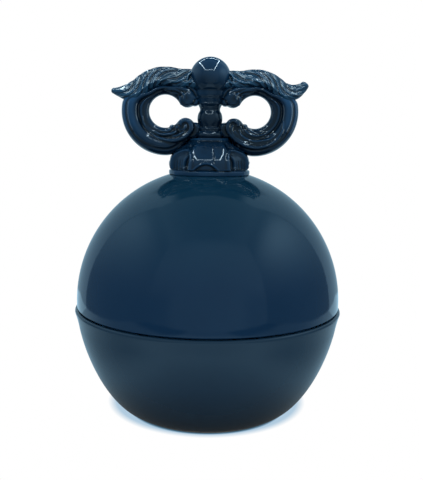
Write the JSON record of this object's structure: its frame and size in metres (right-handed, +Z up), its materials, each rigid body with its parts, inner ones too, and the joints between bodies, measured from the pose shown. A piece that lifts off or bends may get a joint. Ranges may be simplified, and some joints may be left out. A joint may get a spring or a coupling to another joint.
{
  "type": "yarn bowl",
  "caption": "Round lidded ceramic yarn bowl in dark blue glaze: full bowl on a flat foot, domed lid with an inner flange, and a pierced double-scroll finial as its handle.",
  "frame": {"origin": "on the table, under the middle of the bowl's foot", "axes": "+Z up through bowl, lid and finial; +X along the finial's width towards the right-hand scroll; the picture looks along +Y, so the front is -Y"},
  "size_m": [0.1522, 0.1522, 0.2004],
  "materials": {
    "bowl_glaze": "dark slate-blue glaze, glossy with a slightly soft skin; the foot ring under it is bare",
    "lid_glaze": "deep petrol-blue gloss glaze",
    "finial_glaze": "deep petrol-blue gloss glaze, pooled darker in the carving and thinner on its edges"
  },
  "bodies": {
    "bowl": {"bowl": "bowl_glaze"},
    "lid": {"lid_dome": "lid_glaze", "lid_flange": "lid_glaze", "finial_pedestal": "finial_glaze", "finial_stem": "finial_glaze", "finial_knob": "finial_glaze", "scroll_left": "finial_glaze", "scroll_right": "finial_glaze", "leaf_left": "finial_glaze", "leaf_right": "finial_glaze"}
  },
  "joints": [
    {"name": "lid_lift", "type": "slide", "parent": "bowl", "child": "lid", "axis": [0, 0, 1], "range_m": [0, 0.12]}
  ]
}
